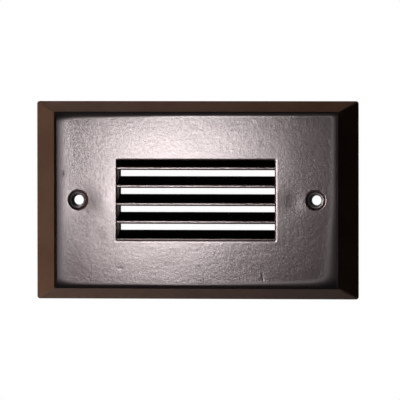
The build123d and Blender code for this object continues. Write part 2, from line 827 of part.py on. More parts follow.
# Coiled filament between the supports
with BuildPart() as lamp_filament:
    filament_x = cavity_floor + light_centre - filament_radius - 2 * filament_wire
    filament_run = 2 * (pole_offset - 2 * support_radius)
    with BuildLine() as coil:
        Helix(
            filament_pitch,
            filament_run,
            filament_radius,
            center=(filament_x, lamp_y, -filament_run / 2),
        )
    with BuildSketch(Plane(origin=coil.line @ 0, z_dir=coil.line % 0)):
        Circle(filament_wire)
    sweep(is_frenet=True)
save(lamp_filament, "lamp_filament")
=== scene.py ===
import json
import math

import bmesh
import bpy
import numpy as np
from mathutils import Matrix, Vector


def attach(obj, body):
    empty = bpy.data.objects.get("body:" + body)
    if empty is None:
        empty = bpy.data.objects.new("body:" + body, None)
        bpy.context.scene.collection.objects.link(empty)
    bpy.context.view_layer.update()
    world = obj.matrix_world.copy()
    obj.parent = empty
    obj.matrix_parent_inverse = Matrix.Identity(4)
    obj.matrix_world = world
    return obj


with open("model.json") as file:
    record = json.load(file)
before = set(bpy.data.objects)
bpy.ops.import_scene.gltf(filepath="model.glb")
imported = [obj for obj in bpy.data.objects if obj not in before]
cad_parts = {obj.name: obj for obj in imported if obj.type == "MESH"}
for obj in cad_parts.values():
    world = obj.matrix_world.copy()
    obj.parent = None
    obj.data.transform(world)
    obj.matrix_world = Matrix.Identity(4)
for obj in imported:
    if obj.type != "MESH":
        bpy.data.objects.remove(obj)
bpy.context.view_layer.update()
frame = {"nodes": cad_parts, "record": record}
nodes = frame["nodes"]
print("frame loaded:", len(nodes), "nodes")

mm = 0.001
joinReach = 1e-4 * mm  # points nearer to each other than this are one point


def linearHex(text):
    # sRGB hex to linear: c / 12.92 below 0.04045, otherwise ((c + 0.055) / 1.055) ** 2.4
    parts = np.array([int(text[i:i + 2], 16) / 255 for i in (1, 3, 5)])
    low = parts / 12.92
    high = ((parts + 0.055) / 1.055) ** 2.4
    return (*np.where(parts <= 0.04045, low, high).tolist(), 1.0)


def addNode(tree, kind, settings=None, links=None):
    # one node, with its input values or attributes, and the sockets that feed its inputs
    node = tree.nodes.new(kind)
    for key, value in (settings or {}).items():
        if isinstance(key, int) or key in node.inputs:
            node.inputs[key].default_value = value
        elif key == "stops":
            ramp = node.color_ramp
            for element, (place, colour) in zip(ramp.elements, value):
                element.position = place
                element.color = colour
        else:
            setattr(node, key, value)
    for key, socket in (links or {}).items():
        tree.links.new(socket, node.inputs[key])
    return node


def startMaterial(name, shader):
    # a material with a Principled surface and the piece's own coordinates in metres
    material = bpy.data.materials.new(name)
    material.use_nodes = True
    tree = material.node_tree
    tree.nodes.clear()
    place = addNode(tree, "ShaderNodeTexCoord").outputs["Object"]
    surface = addNode(tree, "ShaderNodeBsdfPrincipled", shader)
    addNode(tree, "ShaderNodeOutputMaterial", links={"Surface": surface.outputs[0]})
    return material, tree, place, surface


camera = {
    "azimuth": math.radians(7.5),  # stands to the right of the plate
    "elevation": math.radians(1.4),
    "roll": math.radians(-0.05),
    "distance": 3.0,  # metres, as the clip is
    "viewWidth": 139.1 * mm,  # what the picture's width covers at the plate
    "aimRight": 0.71 * mm,
    "aimUp": -0.02 * mm,
    "sensor": 36.0,
    "clip": (0.1, 50),
}


def placeCamera(c):
    # the camera looks back along the direction given by azimuth and elevation, from a long distance
    back = Vector((
        math.sin(c["azimuth"]) * math.cos(c["elevation"]),
        -math.cos(c["azimuth"]) * math.cos(c["elevation"]),
        math.sin(c["elevation"]),
    ))
    right = Vector((math.cos(c["azimuth"]), math.sin(c["azimuth"]), 0))
    up = back.cross(right)
    aim = right * c["aimRight"] + up * c["aimUp"]
    data = bpy.data.cameras.new("camera")
    data.sensor_width = c["sensor"]
    data.lens = c["sensor"] * c["distance"] / c["viewWidth"]
    data.clip_start, data.clip_end = c["clip"]
    data.dof.use_dof = False
    eye = bpy.data.objects.new("camera", data)
    bpy.context.scene.collection.objects.link(eye)
    turn = Matrix((right, up, back)).transposed().to_4x4() @ Matrix.Rotation(c["roll"], 4, "Z")
    eye.matrix_world = Matrix.Translation(aim + back * c["distance"]) @ turn
    bpy.context.scene.camera = eye


placeCamera(camera)
bpy.context.scene.view_settings.view_transform = "Standard"
print("camera placed")

studio = {
    # each lamp: place and aim in metres, width and height, watts, and whether it shows in diffuse
    # and in glossy light; the two sheen boxes alone give the plate's gloss, the fills its shading
    "lamps": {
        "sheenUpper": (
            (-0.052, -0.331, 0.006), (-0.009, -0.0039, 0.014), (0.057, 0.038), 0.266, False, True,
        ),
        "sheenLower": (
            (-0.058, -0.331, -0.020), (-0.015, -0.0039, -0.012), (0.040, 0.032), 0.100, False, True,
        ),
        "leftFill": (
            (-0.290, -0.034, 0.0), (0.0, -0.004, 0.0), (0.10, 0.10), 0.64, True, False,
        ),
        "upperFill": (
            (-0.080, -0.050, 0.330), (0.0, -0.004, 0.02), (0.10, 0.10), 0.47, True, False,
        ),
        "lowerFill": (
            (-0.060, -0.045, -0.100), (0.0, -0.004, -0.02), (0.03, 0.03), 0.028, True, False,
        ),
        "backLeft": ((-0.35, 0.50, 0.40), (0, 0.02, 0), (0.40, 0.40), 1.6, True, True),
        "backRight": ((0.30, 0.55, 0.30), (0, 0.02, 0), (0.40, 0.40), 1.0, True, True),
    },
    "frontLevel": 0.012,  # what the dark side of the studio, in front of the plate, gives
    "backLevel": 0.60,  # what the pale side, behind the plate, gives
    "turnOver": (0.35, 0.85),  # between these parts of the way back, dark turns to pale
    "floorDrop": 0.110,  # metres below the middle of the light
    "floorSize": 0.55,
    "floorSides": 96,
    "floorTone": (0.82, 0.86),  # between these the tooth drifts
    "floorRough": 0.9,
    "floorGlow": 0.75,  # what the eye sees of the floor before any lamp
    "floorBounce": 0.08,  # how much light the floor throws back on the object
    "toothSize": 3.0 * mm,
    "toothDetail": 3.0,
}


def hangLamp(name, place, aim, size, power, diffuse, glossy):
    # a rectangular lamp that the camera doesn't see
    data = bpy.data.lights.new(name, "AREA")
    data.shape = "RECTANGLE"
    data.size, data.size_y = size
    data.energy = power
    lamp = bpy.data.objects.new(name, data)
    bpy.context.scene.collection.objects.link(lamp)
    lamp.location = place
    lamp.rotation_euler = (Vector(aim) - Vector(place)).to_track_quat("-Z", "Y").to_euler()
    lamp.visible_camera = False
    lamp.visible_diffuse = diffuse
    lamp.visible_glossy = glossy


def paintWorld(s):
    # white to the eye and through glass; dark in front of the plate and pale behind it for the rest
    world = bpy.data.worlds.new("studio")
    bpy.context.scene.world = world
    world.use_nodes = True
    tree = world.node_tree
    tree.nodes.clear()
    way = addNode(tree, "ShaderNodeTexCoord").outputs["Generated"]
    depth = addNode(tree, "ShaderNodeSeparateXYZ", links={0: way}).outputs["Y"]
    level = addNode(
        tree, "ShaderNodeMapRange",
        {
            "interpolation_type": "SMOOTHSTEP",
            "From Min": s["turnOver"][0], "From Max": s["turnOver"][1],
            "To Min": s["frontLevel"], "To Max": s["backLevel"],
        },
        {"Value": depth},
    ).outputs["Result"]
    rays = addNode(tree, "ShaderNodeLightPath").outputs
    seen = addNode(
        tree, "ShaderNodeMath", {"operation": "MAXIMUM"},
        {0: rays["Is Camera Ray"], 1: rays["Is Transmission Ray"]},
    ).outputs[0]
    strength = addNode(
        tree, "ShaderNodeMix", {"data_type": "FLOAT", "B": 1.0}, {"Factor": seen, "A": level}
    ).outputs[0]
    sky = addNode(tree, "ShaderNodeBackground", {"Color": (1, 1, 1, 1)}, {"Strength": strength})
    addNode(tree, "ShaderNodeOutputWorld", links={"Surface": sky.outputs[0]})


def seamlessPaper(s):
    # studio paper: white with a faint tooth, and dim in the soft light that it throws back
    glow = (s["floorGlow"],) * 3 + (1.0,)
    shader = {"Roughness": s["floorRough"], "Emission Color": glow}
    material, tree, place, surface = startMaterial("seamlessPaper", shader)
    rays = addNode(tree, "ShaderNodeLightPath").outputs
    seen = rays["Is Camera Ray"]
    for other in ("Is Glossy Ray", "Is Transmission Ray"):
        seen = addNode(
            tree, "ShaderNodeMath", {"operation": "MAXIMUM"}, {0: seen, 1: rays[other]}
        ).outputs[0]
    tooth = addNode(
        tree, "ShaderNodeTexNoise", {"Scale": 1 / s["toothSize"], "Detail": s["toothDetail"]},
        {"Vector": place},
    )
    tone = addNode(
        tree, "ShaderNodeMapRange", {"To Min": s["floorTone"][0], "To Max": s["floorTone"][1]},
        {"Value": tooth.outputs["Fac"]},
    ).outputs["Result"]
    shown = addNode(
        tree, "ShaderNodeMix", {"data_type": "FLOAT", "A": s["floorBounce"]},
        {"Factor": seen, "B": tone},
    ).outputs[0]
    tree.links.new(shown, surface.inputs["Base Color"])
    tree.links.new(rays["Is Camera Ray"], surface.inputs["Emission Strength"])
    return material


def layFloor(s):
    # a flat disc, x = r cos a and y = r sin a, a little below the light
    turn = np.linspace(0, 2 * math.pi, s["floorSides"], endpoint=False)
    ring = np.stack([np.cos(turn), np.sin(turn), np.zeros_like(turn)], 1) * s["floorSize"]
    ring[:, 2] = -s["floorDrop"]
    mesh = bpy.data.meshes.new("floor")
    mesh.from_pydata(ring.tolist(), [], [list(range(len(ring)))])
    mesh.materials.append(seamlessPaper(s))
    floor = bpy.data.objects.new("floor", mesh)
    bpy.context.scene.collection.objects.link(floor)


for lampName, lamp in studio["lamps"].items():
    hangLamp(lampName, *lamp)
paintWorld(studio)
layFloor(studio)
print("studio lit")

finishes = {
    # colours low and high drift in clouds; a finer grain moves the roughness between two values and
    # lifts the bump by its depth; stretch draws the grain out along an axis; sizes are in
    # millimetres, and a grain too fine to show is drawn as coarse as it needs to show

    # bronze-brown enamel on die-cast aluminium: satin, with a pinkish grey gloss and an orange
    # peel; painted shade makes it nearly black along the border round the field and down the screw
    # holes, and dull where that painted shade is deepest
    "castBronze": {
        "low": "#543738", "high": "#5c3f41", "cloud": 14,
        "paintedShade": "#0a0506", "paintedShadeRough": 1.0, "paintedShadeDull": 3.0,
        "grain": 0.55, "rough": (0.17, 0.205), "bump": 0.5, "depth": 0.02,
        "shader": {"Specular IOR Level": 0.5, "Specular Tint": linearHex("#fff3f4")},
    },
    # the same enamel on the bevels and sides, where the casting is smooth and shows less gloss;
    # between two depths, on the crest round the field, painted shade darkens it
    "bronze_cast": {
        "low": "#573d30", "high": "#5f4637", "cloud": 14,
        "paintedShade": "#0a0506", "paintedShadeRough": 1.0, "paintedShadeDull": 3.0, "crestShadeDepths": (-4.70, -4.78),
        "grain": 0.8, "rough": (0.2, 0.26), "bump": 0.12, "depth": 0.02,
        "shader": {"Specular IOR Level": 0.25, "Specular Tint": linearHex("#fff3f4")},
    },
    # a lighter copy of the enamel for the front of the louvre's end walls: painted light, standing
    # in for the lens's light from the side
    "paintedLightBronze": {
        "low": "#5a4640", "high": "#6b544d", "cloud": 6,
        "grain": 0.8, "rough": (0.5, 0.6), "bump": 0.2, "depth": 0.02,
        "shader": {"Specular IOR Level": 0.03, "Specular Tint": linearHex("#c8a49c")},
    },
    # painted shade deep in the louvre: a nearly black sheet without gloss over the blades and the
    # back of the end walls
    "paintedShadeLining": {
        "low": "#0b0a0a", "high": "#1a1411", "cloud": 1.2,
        "grain": 1.2, "rough": (0.9, 1.0), "bump": 0.3, "depth": 0.02,
        "shader": {"Specular IOR Level": 0.0},
    },
    # etched soda-lime glass: an even milky white, given a painted glow by its emission, since no
    # lamp lights it from behind
    "frosted_glass": {
        "low": "#e9eeec", "high": "#f7f8f6", "cloud": 0.6,
        "grain": 0.6, "rough": (0.5, 0.6), "bump": 0.3, "depth": 0.01,
        "shader": {"Emission Color": (1, 1, 1, 1), "Emission Strength": 0.95},
    },
    # closed-cell rubber foam: matt charcoal, pitted where cells were cut open
    "foam_rubber": {
        "low": "#1b1a1a", "high": "#2c2b2a", "cloud": 2.5,
        "grain": 0.45, "rough": (0.8, 0.95), "bump": 0.8, "depth": 0.08,
        "shader": {"Specular IOR Level": 0.3},
    },
    # moulded silicone rubber: milky grey with a soft, waxy gloss
    "silicone": {
        "low": "#a9a8a2", "high": "#bdbcb6", "cloud": 5,
        "grain": 1.6, "rough": (0.35, 0.5), "bump": 0.15, "depth": 0.02,
        "shader": {"IOR": 1.41},
    },
    # bright zinc plate on pressed steel: bluish white metal with the sheet's fine rolling lines
    "zinc_plated_steel": {
        "low": "#a3a9b0", "high": "#bfc4c8", "cloud": 9,
        "grain": 0.5, "stretch": (0.06, 1, 1), "rough": (0.26, 0.4), "bump": 0.25, "depth": 0.01,
        "shader": {"Metallic": 1.0},
    },
    # passivated stainless: warm grey, turned and tumbled to a close satin
    "screw_steel": {
        "low": "#a7a6a2", "high": "#c2c1bd", "cloud": 2,
        "grain": 0.22, "rough": (0.2, 0.34), "bump": 0.2, "depth": 0.008,
        "shader": {"Metallic": 1.0},
    },
    # dyed green lacquer on a plated earth screw: bright, glossy, thinner where it pooled less
    "green_screw": {
        "low": "#0d5a27", "high": "#1b8a40", "cloud": 1.6,
        "grain": 0.4, "rough": (0.22, 0.36), "bump": 0.15, "depth": 0.01,
        "shader": {"Metallic": 0.35, "Coat Weight": 0.5, "Coat Roughness": 0.15},
    },
    # headed aluminium: pale and satin, with the header's fine scuffs
    "rivet_steel": {
        "low": "#b3b4b6", "high": "#cfd0d1", "cloud": 1.5,
        "grain": 0.3, "rough": (0.28, 0.45), "bump": 0.25, "depth": 0.01,
        "shader": {"Metallic": 1.0},
    },
    # white reflector enamel, stoved: a clean gloss over a shallow orange peel
    "white_enamel": {
        "low": "#d9d8d2", "high": "#e4e3de", "cloud": 11,
        "grain": 1.3, "rough": (0.18, 0.3), "bump": 0.25, "depth": 0.02,
        "shader": {"Coat Weight": 0.3, "Coat Roughness": 0.08},
    },
    # urea moulding: cream, matt from the mould's spark-eroded grain
    "holder_moulding": {
        "low": "#c6bda6", "high": "#d6cfba", "cloud": 4,
        "grain": 0.3, "rough": (0.45, 0.62), "bump": 0.35, "depth": 0.015,
        "shader": {"IOR": 1.54},
    },
    # rolled phosphor bronze spring strip: warm yellow with lines along the strip
    "contact_brass": {
        "low": "#a67f3b", "high": "#c7a056", "cloud": 1.8,
        "grain": 0.25, "stretch": (0.08, 1, 1), "rough": (0.22, 0.36), "bump": 0.25, "depth": 0.008,
        "shader": {"Metallic": 1.0},
    },
    # turned and drilled brass bar: yellow, slightly dulled
    "brass_bar": {
        "low": "#a98546", "high": "#c9a762", "cloud": 2.4,
        "grain": 0.25, "stretch": (0.15, 1, 1), "rough": (0.24, 0.4), "bump": 0.2, "depth": 0.008,
        "shader": {"Metallic": 1.0},
    },
    # black glass-filled nylon: matt, with pale fibre specks near the skin
    "block_moulding": {
        "low": "#151515", "high": "#262625", "cloud": 1.1,
        "grain": 0.28, "rough": (0.42, 0.6), "bump": 0.4, "depth": 0.02,
        "shader": {"IOR": 1.53},
    },
    # extruded black PVC insulation: smooth, with a faint drag of the die along the wire
    "lead_black": {
        "low": "#0f0f0f", "high": "#1b1b1a", "cloud": 3,
        "grain": 0.5, "rough": (0.3, 0.45), "bump": 0.2, "depth": 0.01,
        "shader": {"IOR": 1.53},
    },
    # the same insulation in white, a little yellowed
    "lead_white": {
        "low": "#cfccc2", "high": "#dcdad1", "cloud": 3,
        "grain": 0.5, "rough": (0.3, 0.45), "bump": 0.2, "depth": 0.01,
        "shader": {"IOR": 1.53},
    },
    # drawn copper strands, twisted and cut: salmon red, browner in the grooves
    "bare_copper": {
        "low": "#8d4a2c", "high": "#c98258", "cloud": 0.5,
        "grain": 0.3, "stretch": (0.2, 1, 1), "rough": (0.25, 0.42), "bump": 0.5, "depth": 0.02,
        "shader": {"Metallic": 1.0},
    },
    # blown soda-lime glass of the lamp: clear, with faint waves from the forming
    "clear_glass": {
        "low": "#eef3f1", "high": "#fbfcfb", "cloud": 8,
        "grain": 4.0, "rough": (0.0, 0.03), "bump": 0.1, "depth": 0.05,
        "shader": {"IOR": 1.5, "Transmission Weight": 1.0},
    },
    # drawn nickel-iron wire: grey and clean
    "contact_wire": {
        "low": "#9c9b97", "high": "#b9b8b4", "cloud": 1.2,
        "grain": 0.2, "rough": (0.2, 0.32), "bump": 0.15, "depth": 0.005,
        "shader": {"Metallic": 1.0},
    },
    # drawn tungsten wire, recrystallised by use: dark grey and dull
    "tungsten": {
        "low": "#474645", "high": "#605f5c", "cloud": 0.8,
        "grain": 0.15, "rough": (0.35, 0.5), "bump": 0.2, "depth": 0.004,
        "shader": {"Metallic": 1.0},
    },
}


noises = {
    # each finish's two noises: their detail, and the span of their values that is stretched from
    # the low colour to the high one, and from the first roughness to the second
    "cloudDetail": 4.0, "cloudSpan": (0.35, 0.7),
    "grainDetail": 3.0, "grainSpan": (0.3, 0.7),
}


def finish(name, look, s):
    # noise of the cloud's size colours the surface between low and high; noise of the grain's size
    # sets its roughness and bump; the share of painted shade, from 0 to 1, turns the colour to the
    # painted shade's colour in step, and the roughness by its power paintedShadeDull; it is an
    # attribute of the piece, or the share of the way between the crest's two depths
    material, tree, place, surface = startMaterial(name, look["shader"])
    cloud = addNode(
        tree, "ShaderNodeTexNoise", {"Scale": 1 / (look["cloud"] * mm), "Detail": s["cloudDetail"]},
        {"Vector": place},
    )
    colours = (linearHex(look["low"]), linearHex(look["high"]))
    tone = addNode(
        tree, "ShaderNodeValToRGB", {"stops": list(zip(s["cloudSpan"], colours))},
        {"Fac": cloud.outputs["Fac"]},
    ).outputs["Color"]
    if "stretch" in look:
        place = addNode(
            tree, "ShaderNodeMapping", {"Scale": look["stretch"]}, {"Vector": place}
        ).outputs[0]
    grain = addNode(
        tree, "ShaderNodeTexNoise", {"Scale": 1 / (look["grain"] * mm), "Detail": s["grainDetail"]},
        {"Vector": place},
    )
    rough = addNode(
        tree, "ShaderNodeMapRange",
        {
            "From Min": s["grainSpan"][0], "From Max": s["grainSpan"][1],
            "To Min": look["rough"][0], "To Max": look["rough"][1],
        },
        {"Value": grain.outputs["Fac"]},
    ).outputs["Result"]
    # painted shade: on the crest between two depths, or wherever the piece's attribute gives it
    if "crestShadeDepths" in look:
        near, far = look["crestShadeDepths"]
        depth = addNode(tree, "ShaderNodeSeparateXYZ", links={0: place}).outputs["Y"]
        paintedShadeShare = addNode(
            tree, "ShaderNodeMapRange", {"From Min": near * mm, "From Max": far * mm},
            {"Value": depth},
        ).outputs["Result"]
    elif "paintedShade" in look:
        paintedShadeShare = addNode(tree, "ShaderNodeAttribute", {"attribute_name": "paintedShadeShare"}).outputs["Fac"]
    if "paintedShade" in look:
        tone = addNode(
            tree, "ShaderNodeMix", {"data_type": "RGBA", 7: linearHex(look["paintedShade"])},
            {0: paintedShadeShare, 6: tone},
        ).outputs[2]
        dull = addNode(
            tree, "ShaderNodeMath", {"operation": "POWER", 1: look["paintedShadeDull"]}, {0: paintedShadeShare}
        ).outputs[0]
        rough = addNode(
            tree, "ShaderNodeMix", {"data_type": "FLOAT", 3: look["paintedShadeRough"]},
            {0: dull, 2: rough},
        ).outputs[0]
    tree.links.new(tone, surface.inputs["Base Color"])
    tree.links.new(rough, surface.inputs["Roughness"])
    bump = addNode(
        tree, "ShaderNodeBump", {"Strength": look["bump"], "Distance": look["depth"] * mm},
        {"Height": grain.outputs["Fac"]},
    )
    tree.links.new(bump.outputs[0], surface.inputs["Normal"])
    return material


made = {name: finish(name, look, noises) for name, look in finishes.items()}
for part in frame["record"]["subparts"]:
    for slot in nodes[part["node"]].material_slots:
        slot.material = made[part["material_slot"]]


lattice = {
    "size": 256,  # random values each way, after which the noise repeats
    "offset": 500.0,  # cells, so that every place has a number above zero
}


def latticeNoise(x, z, cellX, cellZ, seed):
    # a random lattice, blended between its points by 3t^2 - 2t^3, from -1 to 1
    size = lattice["size"]
    table = np.random.default_rng(seed).uniform(-1, 1, (size, size))
    u, v = x / cellX + lattice["offset"], z / cellZ + lattice["offset"]
    i, j = np.floor(u).astype(int), np.floor(v).astype(int)
    s, t = u - i, v - j
    s, t = s * s * (3 - 2 * s), t * t * (3 - 2 * t)
    i, j, nextI, nextJ = i % size, j % size, (i + 1) % size, (j + 1) % size
    near = table[i, j] * (1 - s) + table[nextI, j] * s
    far = table[i, nextJ] * (1 - s) + table[nextI, nextJ] * s
    return near * (1 - t) + far * t


def easeOut(distance, reach):
    # 1 at the edge, falling to 0 at reach, as (1 - d / reach) squared
    return np.clip(1 - distance / reach, 0, 1) ** 2


def spread(runs):
    # stations that meet every edge; each run is an edge and the step that leads from it to the next
    stations = [
        np.linspace(a, b, max(2, int(round((b - a) / step)) + 1))[:-1]
        for (a, step), (b, _) in zip(runs[:-1], runs[1:])
    ]
    return np.concatenate(stations + [[runs[-1][0]]])


def gridFaces(rows, columns, start=0, keep=None):
    # quads between neighbouring points of a rows x columns grid, kept where keep says
    index = start + np.arange(rows * columns).reshape(rows, columns)
    quads = np.stack([index[:-1, :-1], index[1:, :-1], index[1:, 1:], index[:-1, 1:]], -1)
    return quads[keep] if keep is not None else quads.reshape(-1, 4)


def meshFrom(name, points, faces, material, values=None):
    # points in millimetres; values is an attribute's name and one number for each point
    mesh = bpy.data.meshes.new(name)
    mesh.from_pydata((np.asarray(points) * mm).tolist(), [], faces)
    mesh.materials.append(material)
    mesh.polygons.foreach_set("use_smooth", np.full(len(mesh.polygons), True))
    if values:
        mesh.attributes.new(values[0], "FLOAT", "POINT").data.foreach_set("value", values[1])
    piece = bpy.data.objects.new(name, mesh)
    bpy.context.scene.collection.objects.link(piece)
    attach(piece, "housing")
    return piece


def weld(piece, closed):
    # joins points that lie on each other, drops the ones no face uses, and turns a closed shell
    # outward
    shell = bmesh.new()
    shell.from_mesh(piece.data)
    bmesh.ops.delete(shell, geom=[v for v in shell.verts if not v.link_faces], context="VERTS")
    bmesh.ops.remove_doubles(shell, verts=shell.verts, dist=joinReach)
    if closed:
        bmesh.ops.recalc_face_normals(shell, faces=shell.faces)
    shell.to_mesh(piece.data)
    shell.free()


field = {
    # millimetres; heights stand over the casting's own plane, y = -plane
    "plane": 3.9,
    # the crest round the field, and how far inside its edge the coat ends
    "crestX": 49.65, "crestZ": 30.55, "crestHeight": 0.88, "inset": 0.02,
    # width of the wall round the field, how softly it meets the field, and the norm that joins two
    # sides in a corner
    "wall": {"left": 0.6, "right": 0.9, "top": 0.9, "bottom": 0.9},
    "foot": {"left": 0.12, "right": 0.07, "top": 0.16, "bottom": 0.07},
    "cornerNorm": 4,
    # painted shade along the border: how far in from the crest it reaches, over what width it
    # fades, how dark it is, and how much wider it gets towards the corners
    "paintedShade": {
        "left": (3.6, 2.0, 0.85), "right": (2.2, 0.9, 1.0),
        "top": (1.2, 0.25, 1.0), "bottom": (1.3, 0.4, 1.0),
    },
    "paintedShadeBow": {"top": 0.9, "bottom": 0.6, "right": 1.3},
    # the louvred opening, which the coat narrows at its left and top edges
    "left": -27.9, "right": 27.4, "top": 13.95, "bottom": -13.8,
    "proud": 0.13,  # how far the coat stands over the plane
    "thickness": 0.30,  # most of it lies inside the casting
    # the grid's step, and the finer one in the border next to the crest
    "step": 0.34, "borderStep": 0.20, "border": 1.6,
    # width and fall of the coat's round at the opening
    "edgeRound": {"left": 0.10, "right": 0.9, "top": 0.10, "bottom": 0.9}, "edgeFall": 0.10,
    # slope of the field's slow climb to its left end, its reach, and its share left at the bottom
    "cove": 0.155, "coveReach": 2.2, "coveLow": 0.25,
    # relief: cell sizes along x and z, height and seed of each layer of noise; the crest keeps this
    # share of it, and it is whole from 1 mm in
    "relief": [
        (0.60, 0.60, 0.0038, 11), (0.95, 0.75, 0.0018, 12), (4.0, 0.62, 0.0020, 13),
        (11.0, 8.0, 0.013, 14), (3.4, 3.0, 0.0020, 15),
    ],
    "crestShare": 0.2,
    # dents, and bumps where the depth is negative, round the screw holes: place, depth and radius
    "dents": [(34.2, -0.6, 0.055, 3.4), (-40.6, -0.3, 0.05, 4.6), (-32.6, -0.4, -0.035, 3.8)],
    # nicks and dents of the casting: place, half widths, depth and lean
    "flaws": [
        (-47.2, 9.2, 0.5, 0.9, 0.07, 0.0), (-26.9, -23.8, 1.1, 0.35, 0.025, 0.0),
        (23.2, -26.8, 0.22, 1.3, 0.05, -0.15),
    ],
}

screwHole = {
    # the coat's way down each countersink, in millimetres: radius, depth and how dark its painted
    # shade is
    "x": 41.67,
    "profile": [
        (1.64, 3.60, 1.0), (1.84, 1.62, 1.0), (1.87, 1.48, 1.0),
        (1.96, 1.20, 1.0), (2.06, 0.85, 1.0), (2.14, 0.56, 1.0),
        (2.20, 0.46, 0.95), (2.30, 0.45, 0.85), (2.60, 0.45, 0.8),
        (2.86, 0.44, 0.85), (2.94, 0.37, 1.0), (3.02, 0.28, 1.0),
        (3.12, 0.14, 1.0), (3.20, 0.03, 1.0), (3.28, -0.04, 0.6),
    ],
    "lit": 0.88, "litTurn": 1.5,  # painted light on its right side: how much less dark its painted shade is there, and how fast that fades
    "rim": 3.36, "rimFall": 0.05, "rimReach": 0.40,  # where it meets the field, rounded
    "ringEnd": 4.4, "ringStep": 0.12,  # the rings of points round it in the field
    "patch": 4.8,  # half side of the square that is cut from the grid round the hole
    "slack": 1e-6,  # how far a grid line may miss the square's side
}


def fieldHeight(x, z, f, hole):
    # sum of lattice noises - dents and flaws as Gaussians - a round at every opening + a climb of
    # slope * reach * exp(-gap / reach) at the left + the wall round the field, each side of which
    # rises as foot ln(1 + exp((wall - gap) / foot)), the norm joining them; the share of painted
    # shade along the border is 1 minus the product, over the sides, of 1 - dark / (1 + exp((gap /
    # (1 + bow) - reach) / fade))
    height = np.full_like(x, f["proud"])
    for cellX, cellZ, size, seed in f["relief"]:
        height += size * latticeNoise(x, z, cellX, cellZ, seed)
    for dentX, dentZ, depth, radius in f["dents"]:
        height -= depth * np.exp(-(np.hypot(x - dentX, z - dentZ) / radius) ** 2)
    for flawX, flawZ, wide, tall, deep, lean in f["flaws"]:
        across = (x - flawX - lean * (z - flawZ)) / wide
        height -= deep * np.exp(-(across ** 2 + ((z - flawZ) / tall) ** 2))
    out = {
        "left": f["left"] - x, "right": x - f["right"],
        "top": z - f["top"], "bottom": f["bottom"] - z,
    }
    out = {side: np.maximum(gap, 0) / f["edgeRound"][side] for side, gap in out.items()}
    away = np.hypot(out["left"] + out["right"], out["top"] + out["bottom"])
    height -= f["edgeFall"] * easeOut(away, 1)
    rimGap = np.maximum(np.hypot(np.abs(x) - hole["x"], z) - hole["rim"], 0)
    height -= hole["rimFall"] * easeOut(rimGap, hole["rimReach"])
    gaps = {
        "left": x + f["crestX"], "right": f["crestX"] - x,
        "top": f["crestZ"] - z, "bottom": z + f["crestZ"],
    }
    climb = f["coveLow"] + (1 - f["coveLow"]) * np.clip((1 + z / f["crestZ"]) / 2, 0, 1)
    height += climb * f["cove"] * f["coveReach"] * np.exp(-gaps["left"] / f["coveReach"])
    norm = f["cornerNorm"]
    rise = sum(
        (f["foot"][side] * np.logaddexp(0, (f["wall"][side] - gap) / f["foot"][side])) ** norm
        for side, gap in gaps.items()
    ) ** (1 / norm)
    nearest = np.min(list(gaps.values()), axis=0)
    across = x / f["crestX"]
    bows = {
        "top": f["paintedShadeBow"]["top"] * np.maximum(-across, 0),
        "bottom": f["paintedShadeBow"]["bottom"] * (across ** 2 + np.maximum(across, 0)),
        "right": f["paintedShadeBow"]["right"] * np.maximum(-z / f["crestZ"], 0),
    }
    bare = np.prod([
        1 - dark / (1 + np.exp((gaps[side] / (1 + bows.get(side, 0)) - reach) / fade))
        for side, (reach, fade, dark) in f["paintedShade"].items()
    ], axis=0)
    height = height * np.clip(nearest, f["crestShare"], 1) + rise
    return np.minimum(height, f["crestHeight"]), 1 - bare


